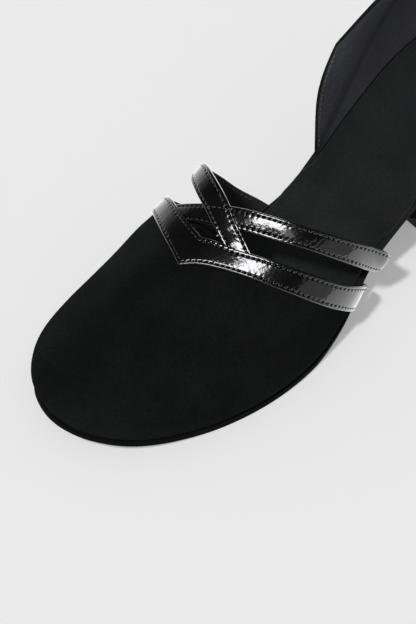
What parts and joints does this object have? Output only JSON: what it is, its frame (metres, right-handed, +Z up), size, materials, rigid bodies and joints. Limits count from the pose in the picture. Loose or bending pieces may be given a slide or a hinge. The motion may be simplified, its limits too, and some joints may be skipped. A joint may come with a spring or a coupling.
{
  "type": "dance shoe",
  "caption": "Left dance shoe with a closed round toe, a V throat band, crossed glossy instep straps, a closed heel counter and a flared heel.",
  "frame": {"origin": "middle of the shoe's outer box, on the floor", "axes": "+Y from toe to heel, +X to the outer side of the left foot, +Z up"},
  "size_m": [0.0868, 0.2314, 0.1064],
  "materials": {
    "outsole": "matte buffed edge",
    "insole": "suede",
    "vamp": "fine nap",
    "front_strap": "patent gloss",
    "crossed_straps": "patent gloss",
    "counter": "fine nap",
    "heel": "satin lacquer",
    "top_piece": "matte"
  },
  "bodies": {
    "root": {"outsole": "outsole", "insole": "insole", "vamp": "vamp", "front_strap": "front_strap", "crossed_straps": "crossed_straps", "counter": "counter", "heel": "heel", "top_piece": "top_piece"}
  },
  "joints": []
}
